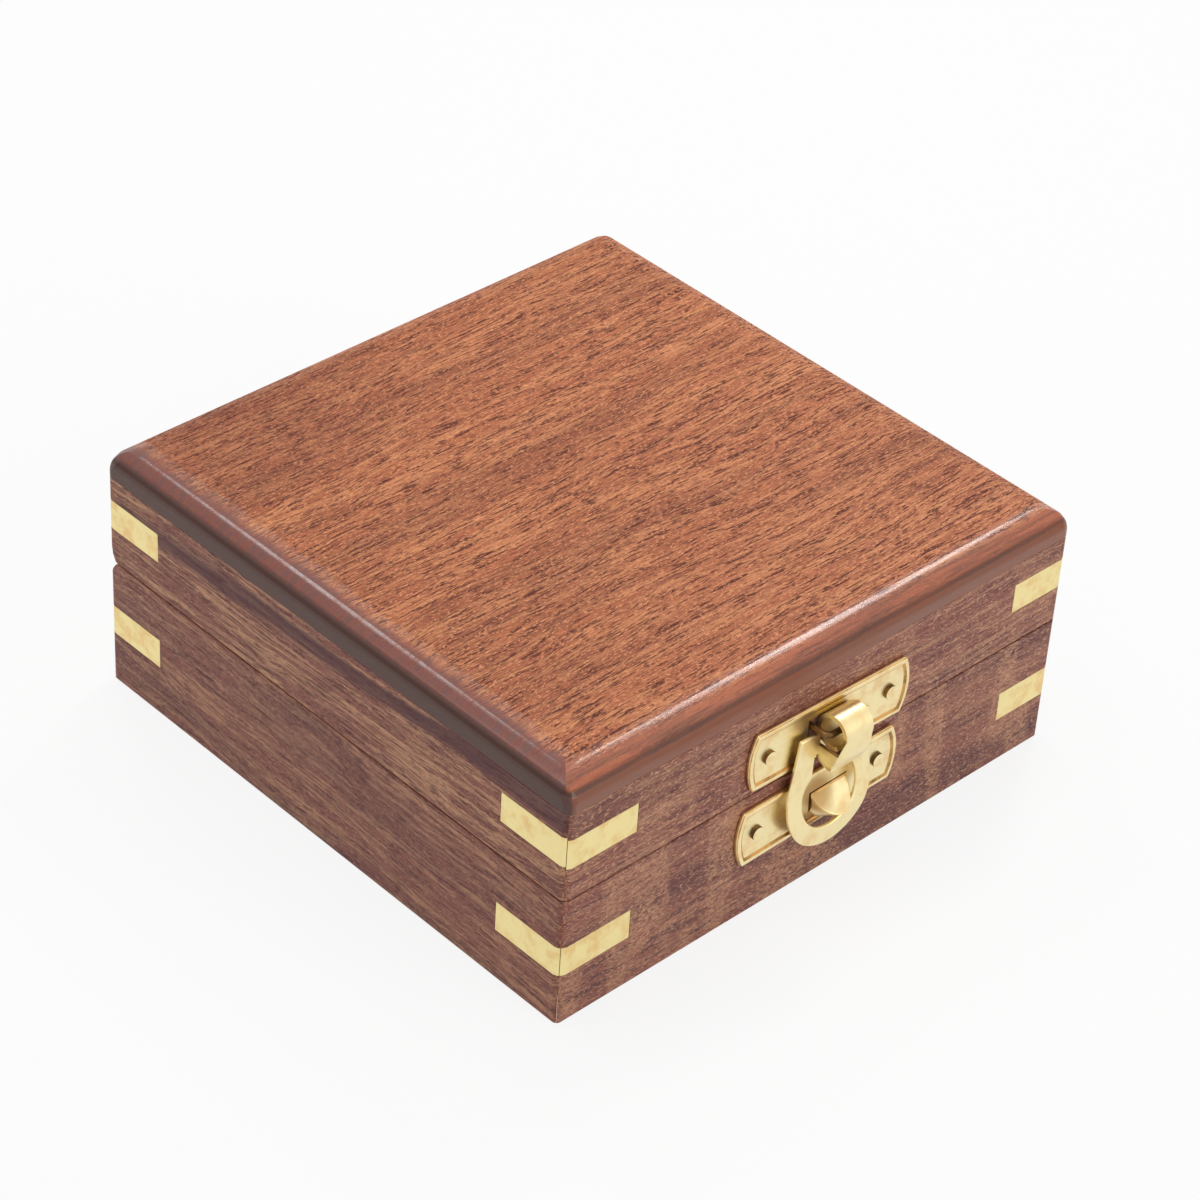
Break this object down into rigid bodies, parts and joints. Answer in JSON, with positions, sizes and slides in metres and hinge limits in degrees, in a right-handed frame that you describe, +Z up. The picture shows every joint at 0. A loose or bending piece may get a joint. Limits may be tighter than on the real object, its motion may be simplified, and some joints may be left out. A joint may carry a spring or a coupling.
{
  "type": "dice box",
  "caption": "Small square wooden box with a hinged lid, a felt lining, brass corner inlays and a brass swinging hasp latch, for storing dice and small game pieces.",
  "frame": {"origin": "centre of the underside of the base", "axes": "+X to the right along the front, +Y to the back where the hinges are, +Z up; the latch is on the front"},
  "size_m": [0.1, 0.1069, 0.042],
  "materials": {
    "case_wood": "satin waxed purple-brown rosewood-like hardwood",
    "lid_panel_wood": "satin waxed reddish hardwood",
    "inlay_brass": "sanded flush, satin",
    "latch_brass": "pressed sheet, satin",
    "hinge_brass": "satin",
    "lining_felt": "short-pile felt"
  },
  "bodies": {
    "base": {"base_back_board": "case_wood", "base_floor_panel": "case_wood", "base_front_board": "case_wood", "base_left_board": "case_wood", "base_lining": "lining_felt", "base_right_board": "case_wood", "base_strip_back_left": "inlay_brass", "base_strip_back_right": "inlay_brass", "base_strip_front_left": "inlay_brass", "base_strip_front_right": "inlay_brass", "base_strip_left_back": "inlay_brass", "base_strip_left_front": "inlay_brass", "base_strip_right_back": "inlay_brass", "base_strip_right_front": "inlay_brass", "catch_plate": "latch_brass", "catch_plate_nails": "latch_brass", "hinge_base_nails": "hinge_brass", "hinge_left_base_leaf": "hinge_brass", "hinge_right_base_leaf": "hinge_brass"},
    "lid": {"hasp_plate": "latch_brass", "hasp_plate_nails": "latch_brass", "hasp_staple": "latch_brass", "hinge_left_lid_leaf": "hinge_brass", "hinge_left_pin": "hinge_brass", "hinge_lid_nails": "hinge_brass", "hinge_right_lid_leaf": "hinge_brass", "hinge_right_pin": "hinge_brass", "lid_back_board": "case_wood", "lid_front_board": "case_wood", "lid_left_board": "case_wood", "lid_lining": "lining_felt", "lid_right_board": "case_wood", "lid_strip_back_left": "inlay_brass", "lid_strip_back_right": "inlay_brass", "lid_strip_front_left": "inlay_brass", "lid_strip_front_right": "inlay_brass", "lid_strip_left_back": "inlay_brass", "lid_strip_left_front": "inlay_brass", "lid_strip_right_back": "inlay_brass", "lid_strip_right_front": "inlay_brass", "lid_top_panel": "lid_panel_wood"},
    "hasp": {"hasp": "latch_brass"}
  },
  "joints": [
    {"name": "lid_hinge", "type": "hinge", "parent": "base", "child": "lid", "pos_m": [0, 0.04875, 0.0224], "axis": [-1, 0, 0], "range_deg": [0, 110]},
    {"name": "hasp_pivot", "type": "hinge", "parent": "lid", "child": "hasp", "pos_m": [0.00004, -0.0536, 0.0296], "axis": [-0.9996, 0, 0.0279], "range_deg": [0, 150]}
  ]
}
